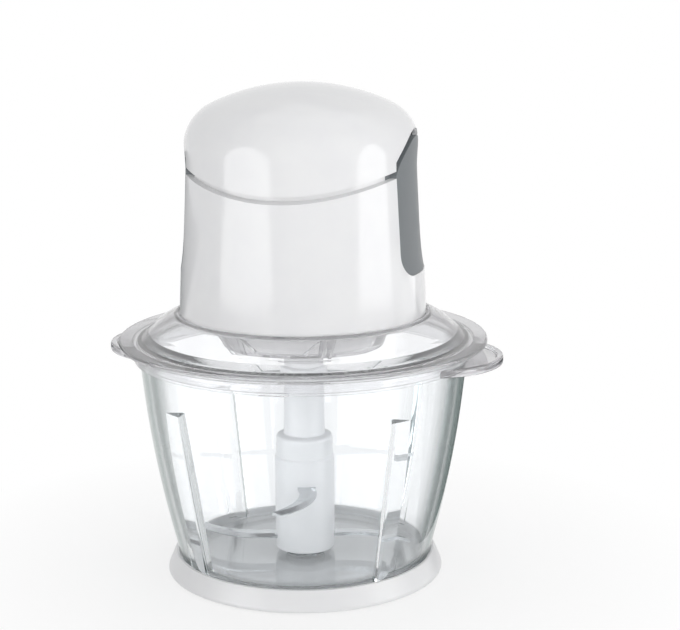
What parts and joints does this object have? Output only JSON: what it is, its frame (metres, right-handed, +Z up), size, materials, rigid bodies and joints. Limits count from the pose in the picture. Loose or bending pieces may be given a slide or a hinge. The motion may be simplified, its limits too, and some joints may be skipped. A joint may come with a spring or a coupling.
{
  "type": "electric mini chopper",
  "caption": "Electric mini chopper: glass bowl in a flared base, clear lid with side ears, white motor unit with a domed press cap that drives a blade spindle through a reduction gear.",
  "frame": {"origin": "middle of the base, on the surface that the chopper stands on", "axes": "+Z up along the spindle, front towards -Y, the lid's ears and the grey grips along X"},
  "size_m": [0.1836, 0.168, 0.2257],
  "materials": {
    "white_abs": "gloss",
    "white_base": "gloss",
    "white_spindle": "satin",
    "grey_grip": "matte",
    "clear_glass": "clear",
    "clear_lid": "clear",
    "silicone": "matte",
    "black_rubber": "matte",
    "steel": "brushed",
    "core_steel": "dull",
    "copper": "lacquered",
    "brass": "plain",
    "carbon": "matte",
    "gear_nylon": "matte",
    "black_plastic": "satin",
    "red_plastic": "satin"
  },
  "bodies": {
    "base": {"base_ring": "white_base", "foot_ring": "black_rubber"},
    "bowl_unit": {"bowl": "clear_glass", "bowl_pin": "steel"},
    "blade": {"blade_spindle": "white_spindle", "lower_blade": "steel", "upper_blade": "steel"},
    "lid_unit": {"lid": "clear_lid", "lid_seal": "silicone"},
    "motor_unit": {"housing": "white_abs", "bottom_cover": "white_abs", "left_grip": "grey_grip", "right_grip": "grey_grip", "switch_deck": "white_abs", "switch_body": "black_plastic", "lower_bracket": "black_plastic", "upper_bracket": "black_plastic", "lower_bush": "brass", "upper_bush": "brass", "stator_core": "core_steel", "field_coil_front": "copper", "field_coil_rear": "copper", "brush_holder_front": "brass", "brush_holder_rear": "brass", "brush_front": "carbon", "brush_rear": "carbon", "ring_gear": "gear_nylon", "output_bush": "brass", "shaft_seal": "black_rubber", "housing_screws": "steel", "motor_screws": "steel", "cord_gland": "grey_grip", "cap_spring_left": "steel", "cap_spring_right": "steel"},
    "cap": {"press_cap": "white_abs"},
    "plunger": {"switch_plunger": "red_plastic"},
    "rotor": {"rotor_shaft": "steel", "rotor_core": "core_steel", "rotor_windings": "copper", "commutator": "copper", "cooling_fan": "black_plastic", "sun_pinion": "brass"},
    "carrier": {"planet_carrier": "steel", "planet_pins": "steel", "output_shaft": "steel", "drive_coupling": "black_plastic"},
    "planet_1": {"planet_gear_1": "gear_nylon"},
    "planet_2": {"planet_gear_2": "gear_nylon"},
    "planet_3": {"planet_gear_3": "gear_nylon"}
  },
  "joints": [
    {"name": "bowl_lift", "type": "slide", "parent": "base", "child": "bowl_unit", "axis": [0, 0, 1], "range_m": [0, 0.06]},
    {"name": "lid_lift", "type": "slide", "parent": "bowl_unit", "child": "lid_unit", "axis": [0, 0, 1], "range_m": [0, 0.12]},
    {"name": "motor_lift", "type": "slide", "parent": "lid_unit", "child": "motor_unit", "axis": [0, 0, 1], "range_m": [0, 0.08]},
    {"name": "cap_press", "type": "slide", "parent": "motor_unit", "child": "cap", "axis": [0, 0, -1], "range_m": [0, 0.0025], "stiffness_N_per_m": 800, "springref_m": -0.004, "deforming": ["cap_spring_left", "cap_spring_right"]},
    {"name": "plunger_press", "type": "slide", "parent": "motor_unit", "child": "plunger", "axis": [0, 0, -1], "range_m": [0, 0.0025]},
    {"name": "rotor_spin", "type": "hinge", "parent": "motor_unit", "child": "rotor", "pos_m": [0, 0, 0.15], "axis": [0, 0, 1], "continuous": true},
    {"name": "carrier_spin", "type": "hinge", "parent": "motor_unit", "child": "carrier", "pos_m": [0, 0, 0.115], "axis": [0, 0, 1], "continuous": true},
    {"name": "planet_1_spin", "type": "hinge", "parent": "carrier", "child": "planet_1", "pos_m": [0.015, 0, 0.118], "axis": [0, 0, 1], "continuous": true},
    {"name": "planet_2_spin", "type": "hinge", "parent": "carrier", "child": "planet_2", "pos_m": [-0.0075, 0.01299, 0.118], "axis": [0, 0, 1], "continuous": true},
    {"name": "planet_3_spin", "type": "hinge", "parent": "carrier", "child": "planet_3", "pos_m": [-0.0075, -0.01299, 0.118], "axis": [0, 0, 1], "continuous": true},
    {"name": "blade_spin", "type": "hinge", "parent": "bowl_unit", "child": "blade", "pos_m": [0, 0, 0.02], "axis": [0, 0, 1], "continuous": true}
  ],
  "couplings": [
    {"joint": "plunger_press", "follows": "cap_press", "ratio": 1},
    {"joint": "carrier_spin", "follows": "rotor_spin", "ratio": 0.2},
    {"joint": "planet_1_spin", "follows": "rotor_spin", "ratio": -0.53333},
    {"joint": "planet_2_spin", "follows": "rotor_spin", "ratio": -0.53333},
    {"joint": "planet_3_spin", "follows": "rotor_spin", "ratio": -0.53333},
    {"joint": "blade_spin", "follows": "rotor_spin", "ratio": 0.2}
  ]
}
